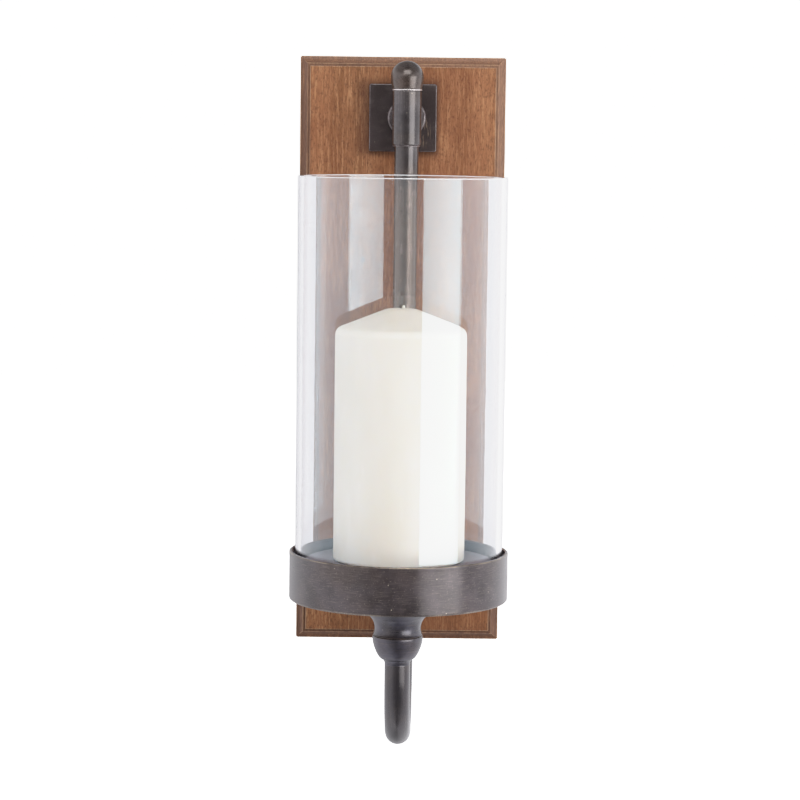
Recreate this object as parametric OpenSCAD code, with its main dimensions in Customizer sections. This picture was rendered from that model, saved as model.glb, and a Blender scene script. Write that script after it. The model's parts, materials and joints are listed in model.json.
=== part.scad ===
// Wall sconce candle holder: a wooden backboard carries a swivelling metal arm, which ends in a
// drum-shaped dish with a glass hurricane and a pillar candle.
// Origin: centre of the backboard's back face. +Z is up, +Y points into the wall. Millimetres.

/* [Backboard] */
// Width of the board
board_w = 125; // [120:1:135]
// Height of the board
board_h = 358; // [350:1:380]
// Thickness of the board
board_t = 18; // [17:0.5:22]
// Width of the routed moulding round the front edge
moulding_w = 6; // [5:0.2:8]
// How far the moulding drops at the board's side
moulding_drop = 5.4; // [4:0.2:7]
// Depth of the small step between the front face and the moulding
quirk_depth = 1.1; // [0.6:0.1:2]

/* [Bracket] */
// Side of the square bracket plate
plate_side = 40.8; // [38:0.2:46]
// Thickness of the bracket plate
plate_t = 4; // [3:0.5:5]
// Height of the bracket's centre above the middle of the board
bracket_z = 142.1; // [138:0.1:145]
// Radius of the round boss between the plate and the sleeve
boss_r = 11.4; // [10.5:0.1:12]
// Distance from the board's front face to the swivel axis
standoff = 25; // [24:0.5:28]
// How far the boss and the swivel axis stand to the right of the board's middle
axis_shift = 2.2; // [0:0.1:3]
// Outer radius of the sleeve
sleeve_r = 8.75; // [8.4:0.05:9]
// Length of the sleeve
sleeve_len = 32.4; // [30:0.1:36]

/* [Finial] */
// Radius of the domed finial
finial_r = 9.9; // [9.4:0.05:10]
// Radius of the finial where it meets its washer
finial_foot_r = 8.9; // [8.7:0.1:9.1]
// Height of the finial's centre above its foot
finial_waist = 7; // [5:0.2:8]

/* [Arm] */
// Outer radius of the arm tube
tube_r = 7.3; // [7:0.05:7.5]
// Wall thickness of the arm tube
tube_wall = 1.6; // [1.4:0.1:1.8]
// How far the centre of the dish stands in front of the swivel axis
reach = 72.6; // [70:0.2:80]
// Height of the centre of the U-bend
bend_z = -186.1; // [-195:0.1:-184]

/* [Stem] */
// Height of the joint between the two turned collars
stem_joint_z = -157.5; // [-159:0.1:-157]
// Largest radius of the lower, bowl-shaped collar
bowl_r = 14.8; // [14:0.1:16]
// Radius of the upper collar at its waist
cove_waist_r = 13.5; // [13:0.1:14]
// Radius of the upper collar where it meets the dish
cove_top_r = 22; // [20:0.5:23]

/* [Dish] */
// Outer radius of the dish pan at its lip
dish_r = 63.5; // [62.5:0.5:66]
// Height of the dish pan
dish_h = 28; // [26:0.5:30]
// Height of the dish's lip
dish_top_z = -108; // [-109:0.5:-107]
// Sheet thickness of the pan and the candle plate
sheet_t = 1.5; // [1.2:0.1:1.8]
// Radius of the raised candle plate
candle_plate_r = 56; // [54:0.5:56]

/* [Glass] */
// Outer radius of the glass hurricane
glass_r = 60.1; // [59.4:0.1:60.4]
// Wall thickness of the glass
glass_wall = 3; // [2.4:0.2:3]
// Height of the top rim of the glass
glass_top_z = 108.4; // [90:0.2:120]
// Radius of the softened edges of its two rims
glass_edge_r = 0.5; // [0.3:0.1:1.4]

/* [Candle] */
// Radius of the candle
candle_r = 38.1; // [34:0.1:44]
// Height of the candle from foot to tip
candle_h = 146; // [100:0.1:180]
// Slope of the candle's conical top
candle_slope = 21.4; // [10:0.2:30]
// Radius of the rounding between the candle's side and its top
candle_shoulder_r = 5.2; // [3:0.1:8]

/* [Hidden] */
$fn = 96;

wood_colour = [0.60, 0.40, 0.28];
bronze_colour = [0.24, 0.22, 0.22];
steel_colour = [0.70, 0.71, 0.73];
wax_colour = [0.93, 0.91, 0.86];

// Radial gap left round a shank in its hole, and the smaller one of a turning fit
loose_gap = 0.25;
snug_gap = 0.05;

// Heights along the swivel axis
axis_y = -(board_t + standoff);
sleeve_z0 = bracket_z - 16.3;
sleeve_z1 = sleeve_z0 + sleeve_len;
washer_t = 0.8;
turn_gap = 0.05;
arm_top_z = sleeve_z0 - washer_t - turn_gap;
finial_z0 = sleeve_z1 + turn_gap + washer_t;
spigot_r = 5;
thread_r = 4;
plug_r = tube_r - tube_wall - snug_gap;

// Heights along the dish axis
cup_y = axis_y - reach;
dish_z0 = dish_top_z - dish_h;
floor_z = dish_z0 + sheet_t;
plate_top_z = dish_top_z - 5;
arm_span = norm([axis_shift, reach]);
arm_turn = -atan(axis_shift / reach);
bend_r = arm_span / 2;
candle_top_z = plate_top_z + candle_h;
wick_r = 1.2;
tube_end_z = stem_joint_z - 7;
screw_r = 2.5;
screw_head_r = 4;

// Keyhole hangers: plate, keyhole and the screws above and below it
hanger_z = [95, -130];
hanger_w = 16;
hanger_h = 46;
hanger_t = 1.5;
hanger_inset = 0.3;
key_entry_r = 4.75;
key_slot_w = 4.4;
key_rise = 9;
hanger_screw_z = 18;
head_pocket_r = 6;
head_pocket_depth = 9;
wood_screw_r = 1.5;
wood_screw_head_r = 3.2;
wood_screw_len = 13;

// Bracket bolts: one above the other, inside the boss
bolt_offset = 6.4;
bolt_r = 2.5;
bolt_head_r = 4.25;
bolt_head_h = 5;
bolt_socket_af = 4;
bolt_washer_r = 5;
bolt_washer_t = 1;
counterbore_r = 5.6;
counterbore_depth = 6.6;
bolt_len = 24;
bolt_head_y = -(counterbore_depth - bolt_washer_t);

// Points of a round arc from a to b. Its middle stands sag to the right of the line from a to b.
function bow(a, b, sag, n = 10) =
  let (c = norm(b - a),
       u = (b - a) / c,
       v = [u.y, -u.x] * sign(sag),
       s = abs(sag),
       r = (c * c / 4 + s * s) / (2 * s),
       h = 2 * atan(2 * s / c))
  [for (i = [0:n])
    let (t = -h + 2 * h * i / n)
    a + u * (c / 2 + r * sin(t)) + v * (r * cos(t) - r * cos(h))];

// Sagitta of a rounding of radius r that turns through an angle
function sagitta(r, turn) = r * (1 - cos(turn / 2));

// rod_y runs from y0 to y1 along Y
module rod_y(r, y0, y1) {
  translate([0, y1, 0])
    rotate([90, 0, 0])
      cylinder(r = r, h = y1 - y0);
}

// A cone along Y, from radius r_back at y1 to radius r_front at y0
module cone_y(r_back, r_front, y0, y1) {
  translate([0, y1, 0])
    rotate([90, 0, 0])
      cylinder(r1 = r_back, r2 = r_front, h = y1 - y0);
}

// rod_z runs from z0 to z1 along Z
module rod_z(r, z0, z1) {
  translate([0, 0, z0])
    cylinder(r = r, h = z1 - z0);
}

// A flat ring between z0 and z1
module ring_z(r_out, r_in, z0, z1) {
  difference() {
    rod_z(r_out, z0, z1);
    rod_z(r_in, z0 - 1, z1 + 1);
  }
}

// A square or oblong with rounded corners, centred
module rounded_rect(w, h, r) {
  square([w - 2 * r, h], center = true);
  square([w, h - 2 * r], center = true);
  for (sx = [-1, 1])
    for (sy = [-1, 1])
      translate([sx * (w / 2 - r), sy * (h / 2 - r)])
        circle(r = r, $fn = 32);
}

module at_cup() {
  translate([0, cup_y, 0])
    children();
}

module at_axis() {
  translate([axis_shift, axis_y, 0])
    children();
}

// ---- Backboard ----

// Section of the board: its back on the first axis, its front board_t below it
module board_section(w) {
  difference() {
    translate([-w / 2, -board_t])
      square([w, board_t]);
    for (side = [-1, 1]) {
      translate([side * (w / 2 - moulding_w / 2 + 1), -board_t])
        square([moulding_w + 2, 2 * quirk_depth], center = true);
      translate([side * w / 2, quirk_depth - board_t])
        circle(r = moulding_drop - quirk_depth, $fn = 48);
    }
  }
}

// The moulding runs round all four edges and meets in mitres
module board_blank() {
  intersection() {
    linear_extrude(height = board_h, center = true)
      board_section(board_w);
    rotate([0, 90, 0])
      linear_extrude(height = board_w, center = true)
        board_section(board_h);
    rotate([90, 0, 0])
      linear_extrude(height = board_t)
        rounded_rect(board_w, board_h, 1);
  }
}

// Outline of a keyhole: a round entry below, and a slot of width w that rises from it
module keyhole(r, w) {
  translate([0, -key_rise / 2 - 0.5])
    circle(r = r);
  translate([-w / 2, -key_rise / 2 - 0.5])
    square([w, key_rise]);
  translate([0, key_rise / 2 - 0.5])
    circle(r = w / 2);
}

module hanger_pocket() {
  pocket_depth = hanger_inset + hanger_t;
  translate([0, 1, 0])
    rotate([90, 0, 0])
      linear_extrude(height = pocket_depth + 1)
        rounded_rect(hanger_w + 0.4, hanger_h + 0.4, 5);
  translate([0, 1, 0])
    rotate([90, 0, 0])
      linear_extrude(height = head_pocket_depth + 1)
        keyhole(head_pocket_r, 2 * head_pocket_r);
  for (side = [-1, 1])
    translate([0, 0, side * hanger_screw_z])
      rod_y(wood_screw_r + snug_gap, -wood_screw_len - 1, 1);
}

module backboard() {
  color(wood_colour)
    difference() {
      board_blank();
      for (z = hanger_z)
        translate([0, 0, z])
          hanger_pocket();
      for (side = [-1, 1])
        translate([0, 0, bracket_z + side * bolt_offset]) {
          rod_y(bolt_r + loose_gap, -board_t - 1, 1);
          rod_y(counterbore_r, -counterbore_depth, 1);
        }
    }
}

// ---- Keyhole hangers ----

module keyhole_hanger() {
  color(steel_colour)
    translate([0, -hanger_inset, 0])
      difference() {
        rotate([90, 0, 0])
          linear_extrude(height = hanger_t)
            difference() {
              rounded_rect(hanger_w, hanger_h, 5);
              keyhole(key_entry_r, key_slot_w);
            }
        for (side = [-1, 1])
          translate([0, 0, side * hanger_screw_z])
            cone_y(wood_screw_head_r + snug_gap, wood_screw_r + 2 * snug_gap, -hanger_t, 0);
      }
}

module keyhole_hanger_upper() {
  translate([0, 0, hanger_z[0]])
    keyhole_hanger();
}

module keyhole_hanger_lower() {
  translate([0, 0, hanger_z[1]])
    keyhole_hanger();
}

module wood_screw() {
  head_y = -hanger_inset;
  difference() {
    union() {
      cone_y(wood_screw_head_r, wood_screw_r, head_y - hanger_t, head_y);
      rod_y(wood_screw_r, -wood_screw_len + 3, head_y - hanger_t);
      cone_y(wood_screw_r, 0.3, -wood_screw_len, -wood_screw_len + 3);
    }
    for (a = [45, 135])
      rotate([0, a, 0])
        translate([-1.9, head_y - 0.9, -0.35])
          cube([3.8, 2, 0.7]);
  }
}

module hanger_screws() {
  color(steel_colour)
    for (z = hanger_z)
      for (side = [-1, 1])
        translate([0, 0, z + side * hanger_screw_z])
          wood_screw();
}

// ---- Bracket ----

module bracket_plate() {
  color(bronze_colour)
    translate([0, -board_t, bracket_z])
      difference() {
        rotate([90, 0, 0])
          linear_extrude(height = plate_t)
            rounded_rect(plate_side, plate_side, 1);
        for (side = [-1, 1])
          translate([0, 0, side * bolt_offset])
            rod_y(bolt_r + loose_gap, -plate_t - 1, 1);
      }
}

module bracket_bolts() {
  color(steel_colour)
    for (side = [-1, 1])
      translate([0, 0, bracket_z + side * bolt_offset])
        difference() {
          union() {
            rod_y(bolt_head_r, bolt_head_y, bolt_head_y + bolt_head_h);
            rod_y(bolt_r, bolt_head_y - bolt_len, bolt_head_y);
          }
          translate([0, bolt_head_y + bolt_head_h + 1, 0])
            rotate([90, 0, 0])
              cylinder(r = bolt_socket_af / sqrt(3), h = 3.5, $fn = 6);
        }
}

module bracket_washers() {
  color(steel_colour)
    for (side = [-1, 1])
      translate([0, 0, bracket_z + side * bolt_offset])
        difference() {
          rod_y(bolt_washer_r, -counterbore_depth, bolt_head_y);
          rod_y(bolt_r + loose_gap, -counterbore_depth - 1, bolt_head_y + 1);
        }
}

// The boss ends in a trough that fits the sleeve
module bracket_boss() {
  boss_y0 = axis_y + 5;
  boss_y1 = -board_t - plate_t;
  chamfer = 0.7;
  color(bronze_colour)
    difference() {
      translate([axis_shift, 0, bracket_z])
        union() {
          rod_y(boss_r, boss_y0 + chamfer, boss_y1);
          cone_y(boss_r, boss_r - chamfer, boss_y0, boss_y0 + chamfer);
        }
      at_axis()
        rod_z(sleeve_r, bracket_z - 20, bracket_z + 20);
      for (side = [-1, 1])
        translate([0, 0, bracket_z + side * bolt_offset])
          rod_y(bolt_r + snug_gap, bolt_head_y - bolt_len - 0.5, boss_y1 + 1);
    }
}

module pivot_sleeve() {
  bore_r = spigot_r + snug_gap;
  edge = 0.4;
  color(bronze_colour)
    at_axis()
      rotate_extrude()
        polygon([[bore_r, sleeve_z0],
                 [sleeve_r - edge, sleeve_z0],
                 [sleeve_r, sleeve_z0 + edge],
                 [sleeve_r, sleeve_z1 - edge],
                 [sleeve_r - edge, sleeve_z1],
                 [bore_r, sleeve_z1]]);
}

module swivel_washer() {
  color(bronze_colour)
    at_axis()
      ring_z(8.2, spigot_r + 2 * snug_gap, arm_top_z, arm_top_z + washer_t);
}

// ---- Finial ----

module finial_washer() {
  color(steel_colour)
    at_axis()
      ring_z(9, thread_r + 2 * snug_gap, finial_z0 - washer_t, finial_z0);
}

module finial_knob() {
  equator_z = finial_z0 + finial_waist;
  color(bronze_colour)
    at_axis()
      difference() {
        rotate_extrude() {
          intersection() {
            translate([0, equator_z])
              circle(r = finial_r);
            translate([0, equator_z])
              square(2 * finial_r);
          }
          polygon([[0, finial_z0],
                   [finial_foot_r - 0.3, finial_z0],
                   [finial_foot_r, finial_z0 + 0.3],
                   [finial_r, equator_z],
                   [0, equator_z]]);
        }
        rod_z(thread_r + snug_gap, finial_z0 - 1, finial_z0 + 10);
      }
}

// ---- Arm ----

// A J-shaped rod of radius r: long leg from z_long, bend, short leg up to z_short
module j_rod(r, z_long, z_short) {
  at_axis()
    rotate([0, 0, arm_turn]) {
      rod_z(r, bend_z, z_long);
      translate([0, -bend_r, bend_z])
        rotate([0, 90, 0])
          rotate([0, 0, -90])
            rotate_extrude(angle = 180)
              translate([bend_r, 0])
                circle(r = r);
      translate([0, -arm_span, 0])
        rod_z(r, bend_z, z_short);
    }
}

module arm_tube() {
  color(bronze_colour)
    difference() {
      j_rod(tube_r, arm_top_z, tube_end_z);
      j_rod(tube_r - tube_wall, arm_top_z + 1, tube_end_z + 1);
    }
}

// Fixed in the top of the tube. The spigot turns in the sleeve and the thread holds the finial.
module arm_top_stud() {
  color(steel_colour)
    at_axis()
      union() {
        rod_z(plug_r, arm_top_z - 28, arm_top_z);
        rod_z(spigot_r, arm_top_z, finial_z0 - washer_t);
        rod_z(thread_r, finial_z0 - washer_t, finial_z0 + 9);
      }
}

// Fixed in the rising end of the tube. Its stud runs up through both collars to the dish.
module arm_end_plug() {
  color(steel_colour)
    at_cup()
      difference() {
        union() {
          rod_z(plug_r, tube_end_z - 18, tube_end_z);
          rod_z(thread_r, tube_end_z, dish_z0 - 0.3);
        }
        rod_z(screw_r + snug_gap, dish_z0 - 17, dish_z0);
      }
}

// ---- Stem ----

module stem_bowl() {
  socket_r = tube_r + snug_gap;
  bore_r = thread_r + snug_gap;
  color(bronze_colour)
    at_cup()
      translate([0, 0, stem_joint_z])
        rotate_extrude()
          polygon(concat(
            [[bore_r, 0], [bore_r, -7], [socket_r, -7], [socket_r, -17]],
            bow([socket_r + 0.3, -17], [8.6, -14.5], -0.3, 6),
            bow([9, -14.3], [11.65, -11.55], 0.3, 6),
            bow([11.75, -11.4], [bowl_r, -1.6], 0.55, 10),
            bow([bowl_r, -1.3], [bowl_r - 0.5, 0], 0.15, 4)));
}

// The cove: a long flare below the waist, a tighter one above it that runs out to a thick rim
module stem_cove() {
  waist_z = stem_joint_z + 4.4;
  upper_r = 8.9;
  lower_r = 9.35;
  foot_turn = asin((waist_z - stem_joint_z) / lower_r);
  foot_r = cove_waist_r + lower_r * (1 - cos(foot_turn));
  spread_r = cove_waist_r + upper_r * (1 - cos(45));
  spread_z = waist_z + upper_r * sin(45);
  rim_z = spread_z + cove_top_r - spread_r;
  color(bronze_colour)
    at_cup()
      rotate_extrude()
        polygon(concat(
          [[thread_r + snug_gap, stem_joint_z]],
          bow([foot_r, stem_joint_z], [cove_waist_r, waist_z], -sagitta(lower_r, foot_turn)),
          bow([cove_waist_r, waist_z + 0.05], [spread_r, spread_z], -sagitta(upper_r, 45)),
          bow([cove_top_r - 0.5, rim_z - 0.5], [cove_top_r, rim_z + 0.7], 0.2, 4),
          [[cove_top_r, dish_z0], [thread_r + snug_gap, dish_z0]]));
}

// ---- Dish ----

module dish_pan() {
  wall_r = dish_r - 0.1;
  inner_r = wall_r - sheet_t;
  bead_r = sheet_t / 2 + 0.3;
  corner_r = 2;
  hole_r = screw_r + loose_gap;
  color(bronze_colour)
    at_cup()
      rotate_extrude() {
        polygon(concat(
          [[hole_r, dish_z0]],
          bow([wall_r - corner_r, dish_z0], [wall_r, dish_z0 + corner_r], sagitta(corner_r, 90), 6),
          [[wall_r, dish_top_z - bead_r], [inner_r, dish_top_z - bead_r]],
          bow([inner_r, floor_z + 1], [inner_r - 1, floor_z], -sagitta(1, 90), 4),
          [[hole_r, floor_z]]));
        translate([dish_r - bead_r, dish_top_z - bead_r])
          circle(r = bead_r, $fn = 48);
      }
}

module dish_spacer() {
  color(steel_colour)
    at_cup()
      ring_z(12, screw_r + loose_gap, floor_z, plate_top_z - sheet_t);
}

// An upturned tray: its skirt stands on the pan's floor and leaves a channel for the glass
module candle_plate() {
  corner_r = 2.2;
  skirt_r = candle_plate_r - sheet_t;
  under_z = plate_top_z - sheet_t;
  color(bronze_colour)
    at_cup()
      rotate_extrude()
        polygon(concat(
          [[screw_r + 0.1, under_z], [skirt_r - 0.8, under_z], [skirt_r, under_z - 0.8],
           [skirt_r, floor_z], [candle_plate_r, floor_z]],
          bow([candle_plate_r, plate_top_z - corner_r], [candle_plate_r - corner_r, plate_top_z],
              sagitta(corner_r, 90), 6),
          [[screw_head_r + 0.1, plate_top_z]]));
}

module centre_screw() {
  color(steel_colour)
    at_cup()
      difference() {
        union() {
          translate([0, 0, plate_top_z - sheet_t])
            cylinder(r1 = screw_r, r2 = screw_head_r, h = sheet_t);
          rod_z(screw_r, dish_z0 - 14, plate_top_z - sheet_t);
        }
        translate([-screw_head_r, -0.5, plate_top_z - 0.8])
          cube([2 * screw_head_r, 1, 2]);
      }
}

// ---- Glass ----

module glass_hurricane() {
  color([0.80, 0.84, 0.88, 0.35])
    at_cup()
      rotate_extrude()
        translate([glass_r - glass_wall / 2, (floor_z + glass_top_z) / 2])
          rounded_rect(glass_wall, glass_top_z - floor_z, glass_edge_r);
}

// ---- Candle ----

module candle() {
  foot_round = 1.6;
  tip_r = 8.8;
  tip_crown = 0.6;
  turn = 90 - candle_slope;
  tip_z = candle_top_z - tip_crown;
  edge_z = tip_z - (candle_r - tip_r) * tan(candle_slope);
  run = candle_shoulder_r * tan(turn / 2);
  hole_r = wick_r + snug_gap;
  color(wax_colour)
    at_cup()
      difference() {
        rotate_extrude()
          polygon(concat(
            [[0, plate_top_z]],
            bow([candle_r - foot_round, plate_top_z], [candle_r, plate_top_z + foot_round],
                sagitta(foot_round, 90), 8),
            bow([candle_r, edge_z - run],
                [candle_r - run * cos(candle_slope), edge_z + run * sin(candle_slope)],
                sagitta(candle_shoulder_r, turn), 10),
            [[tip_r, tip_z], [tip_r * 0.6, candle_top_z - 0.1], [0, candle_top_z]]));
        rod_z(hole_r, plate_top_z + 3, candle_top_z + 1);
      }
}

module wick() {
  color("dimgray")
    at_cup()
      rod_z(wick_r, plate_top_z + 3, candle_top_z + 2.6);
}

backboard();
keyhole_hanger_upper();
keyhole_hanger_lower();
hanger_screws();
bracket_plate();
bracket_bolts();
bracket_washers();
bracket_boss();
pivot_sleeve();
swivel_washer();
finial_washer();
finial_knob();
arm_tube();
arm_top_stud();
arm_end_plug();
stem_bowl();
stem_cove();
dish_pan();
dish_spacer();
candle_plate();
centre_screw();
glass_hurricane();
candle();
wick();
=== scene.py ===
"""Looks of the wall sconce candle holder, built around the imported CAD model.

Metres, in the CAD frame: the origin is the middle of the board's back, +Z is up and the dish
stands out along -Y. Turned pieces are lathed from outlines in millimetres, board and wall plate
are built from loops, the arm is swept, and small hardware is the CAD shape with its edges eased.
"""

import json
import math

import bmesh
import bpy
import numpy as np
from mathutils import Matrix, Vector


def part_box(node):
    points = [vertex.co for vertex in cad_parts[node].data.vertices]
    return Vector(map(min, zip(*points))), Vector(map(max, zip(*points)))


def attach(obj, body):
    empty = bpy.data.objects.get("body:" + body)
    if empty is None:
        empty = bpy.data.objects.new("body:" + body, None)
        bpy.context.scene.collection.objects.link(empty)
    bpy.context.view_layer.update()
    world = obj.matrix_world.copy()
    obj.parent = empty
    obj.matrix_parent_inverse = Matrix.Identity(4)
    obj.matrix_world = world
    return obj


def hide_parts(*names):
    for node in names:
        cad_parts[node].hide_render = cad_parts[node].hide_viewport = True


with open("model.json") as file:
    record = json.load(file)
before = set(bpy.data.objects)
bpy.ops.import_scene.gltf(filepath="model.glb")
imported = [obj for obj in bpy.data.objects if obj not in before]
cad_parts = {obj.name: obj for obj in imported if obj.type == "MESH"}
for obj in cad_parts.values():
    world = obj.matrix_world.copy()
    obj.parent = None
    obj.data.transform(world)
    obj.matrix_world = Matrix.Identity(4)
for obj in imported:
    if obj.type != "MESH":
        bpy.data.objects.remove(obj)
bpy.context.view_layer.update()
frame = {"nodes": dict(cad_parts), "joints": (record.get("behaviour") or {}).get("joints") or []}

MM = 0.001
SHARP_ANGLE = math.radians(38)
STUD_BORE = 4.05  # millimetres
# Colours of worn edges. The pale one also paints a highlight along the edges; the warm one is bare
# bronze.
PALE_GLINT_EDGE, WARM_EDGE = (172, 164, 166), (184, 160, 130)
RIG_BODY = "wall_bracket"
SWIVEL_X, SWIVEL_Y, _ = next(j for j in frame["joints"] if j["name"] == "arm_swivel")["pos_m"]
PAN_LOW, PAN_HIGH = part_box("dish_pan")
CUP_Y = (PAN_LOW.y + PAN_HIGH.y) / 2
ON_SWIVEL = Vector((SWIVEL_X, SWIVEL_Y, 0))
ON_CUP = Vector((0, CUP_Y, 0))


# ---------------------------------------------------------------- mesh helpers

def arc(a, b, sag, steps=8):
    """Points of a round arc from a to b, its middle standing sag to the right of a to b."""
    a, b = Vector(a), Vector(b)
    chord = (b - a).length
    along = (b - a) / chord
    side = Vector((along.y, -along.x)) * math.copysign(1, sag)
    sag = abs(sag)
    radius = (chord * chord / 4 + sag * sag) / (2 * sag)
    half = 2 * math.atan(2 * sag / chord)
    points = []
    for i in range(steps + 1):
        t = -half + 2 * half * i / steps
        p = a + along * (chord / 2 + radius * math.sin(t))
        p += side * (radius * math.cos(t) - radius * math.cos(half))
        points.append((p.x, p.y))
    return points


def corner(a, tip, b, steps=5):
    """Points of a rounding that leaves the line a-tip near a and joins tip-b near b."""
    a, tip, b = Vector(a), Vector(tip), Vector(b)
    points = []
    for i in range(steps + 1):
        t = i / steps
        p = a * (1 - t) ** 2 + tip * 2 * t * (1 - t) + b * t * t
        points.append((p.x, p.y))
    return points


def filled(points, step):
    """The same outline with straight stretches cut into pieces no longer than step."""
    out = []
    for i, p in enumerate(points):
        q = points[(i + 1) % len(points)]
        count = max(1, math.ceil(math.dist(p, q) / step))
        for k in range(count):
            t = k / count
            out.append((p[0] + (q[0] - p[0]) * t, p[1] + (q[1] - p[1]) * t))
    return out


def new_object(name, mesh):
    ob = bpy.data.objects.new(name, mesh)
    bpy.context.scene.collection.objects.link(ob)
    return ob


def add_vectors(mesh, name, values):
    attribute = mesh.attributes.new(name, "FLOAT_VECTOR", "POINT")
    attribute.data.foreach_set("vector", np.asarray(values, np.float32).ravel())


def finish_mesh(mesh, worn_from=350.0, worn_to=1500.0):
    """Smooth shading with true edges kept, and a wear value from 0 to 1 on tight outer edges.

    worn_from and worn_to are curvatures, in 1 / metre, at which the wear starts and is full.
    """
    bm = bmesh.new()
    bm.from_mesh(mesh)
    bmesh.ops.recalc_face_normals(bm, faces=bm.faces)
    wear = np.zeros(len(bm.verts), np.float32)
    for edge in bm.edges:
        if len(edge.link_faces) != 2:
            continue
        angle = edge.calc_face_angle_signed(0.0)
        edge.smooth = abs(angle) < SHARP_ANGLE
        if angle > 0:
            first, second = edge.link_faces
            gap = (first.calc_center_median() - second.calc_center_median()).length
            bend = angle / max(gap, 0.2 * MM)
            worn = min(1.0, max(0.0, (bend - worn_from) / (worn_to - worn_from)))
            for v in edge.verts:
                wear[v.index] = max(wear[v.index], worn)
    for face in bm.faces:
        face.smooth = True
    bm.to_mesh(mesh)
    bm.free()
    mesh.attributes.new("wear", "FLOAT", "POINT").data.foreach_set("value", wear)


def from_lists(name, verts, faces, flow):
    mesh = bpy.data.meshes.new(name)
    mesh.from_pydata(verts, [], faces)
    add_vectors(mesh, "flow", flow)
    finish_mesh(mesh)
    return new_object(name, mesh)


def from_bmesh(name, bm, **wear):
    mesh = bpy.data.meshes.new(name)
    bm.to_mesh(mesh)
    bm.free()
    add_vectors(mesh, "flow", [v.co for v in mesh.vertices])
    finish_mesh(mesh, **wear)
    return new_object(name, mesh)


def lathe(name, outline, centre, turns, wobble=None):
    """Turns a closed (radius, height) outline round the vertical line through centre.

    The flow attribute holds places that a brushed finish can follow round the piece.
    """
    verts, flow, rings = [], [], []
    run = 0.0
    for i, (r, z) in enumerate(outline):
        if i:
            run += math.dist(outline[i], outline[i - 1])
        if r < 1e-7:
            rings.append([len(verts)])
            verts.append((centre.x, centre.y, z))
            flow.append((0, 0, run))
            continue
        rings.append(list(range(len(verts), len(verts) + turns)))
        for k in range(turns):
            a = 2 * math.pi * (k + 0.5) / turns
            out = r + (wobble(a, z) if wobble else 0.0)
            verts.append((centre.x + out * math.sin(a), centre.y + out * math.cos(a), z))
            flow.append((r * math.sin(a), r * math.cos(a), run))
    faces = []
    for i, ring in enumerate(rings):
        other = rings[(i + 1) % len(rings)]
        if len(ring) == 1 and len(other) == 1:
            continue
        for k in range(turns):
            n = (k + 1) % turns
            if len(ring) == 1:
                faces.append((ring[0], other[n], other[k]))
            elif len(other) == 1:
                faces.append((ring[k], ring[n], other[0]))
            else:
                faces.append((ring[k], ring[n], other[n], other[k]))
    return from_lists(name, verts, faces, flow)


def sweep(name, path, across, outer, inner, sides=64):
    """A tube along a path that bends square to across.

    outer holds a pair for each point: the radius across and the radius in the bend's plane.
    """
    count = len(path)
    verts, flow, faces = [], [], []
    run = 0.0
    for i, p in enumerate(path):
        if i:
            run += (path[i] - path[i - 1]).length
        ahead = (path[min(i + 1, count - 1)] - path[max(i - 1, 0)]).normalized()
        up = across.cross(ahead)
        for wide, high in (outer[i], (inner, inner)):
            for k in range(sides):
                a = 2 * math.pi * k / sides
                verts.append(p + across * (wide * math.cos(a)) + up * (high * math.sin(a)))
                flow.append((wide * math.cos(a), high * math.sin(a), run))
    stride = 2 * sides
    for i in range(count - 1):
        for layer in (0, sides):
            for k in range(sides):
                n = (k + 1) % sides
                a, b = i * stride + layer, (i + 1) * stride + layer
                faces.append((a + k, a + n, b + n, b + k))
    for i in (0, count - 1):
        for k in range(sides):
            n = (k + 1) % sides
            base = i * stride
            faces.append((base + k, base + n, base + sides + n, base + sides + k))
    return from_lists(name, verts, faces, flow)


def eased(node, name, width):
    """The CAD node's own shape as a new piece, with its true edges rounded by width."""
    bm = bmesh.new()
    bm.from_mesh(frame["nodes"][node].data)
    bmesh.ops.remove_doubles(bm, verts=bm.verts, dist=2e-6)
    bmesh.ops.dissolve_limit(bm, angle_limit=math.radians(0.5), verts=bm.verts, edges=bm.edges)
    edges = [e for e in bm.edges if len(e.link_faces) == 2
             and e.calc_face_angle(0.0) > SHARP_ANGLE and e.calc_length() > width]
    bmesh.ops.bevel(bm, geom=edges, offset=width, segments=2, profile=0.5,
                    affect="EDGES", clamp_overlap=True)
    bmesh.ops.triangulate(bm, faces=[f for f in bm.faces if len(f.verts) > 4])
    return from_bmesh(name, bm)


# ---------------------------------------------------------------- material helpers

def srgb(r, g, b):
    """Linear colour of an ordinary 0 to 255 screen colour."""
    def line(v):
        v /= 255
        return v / 12.92 if v <= 0.04045 else ((v + 0.055) / 1.055) ** 2.4
    return (line(r), line(g), line(b), 1.0)


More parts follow.
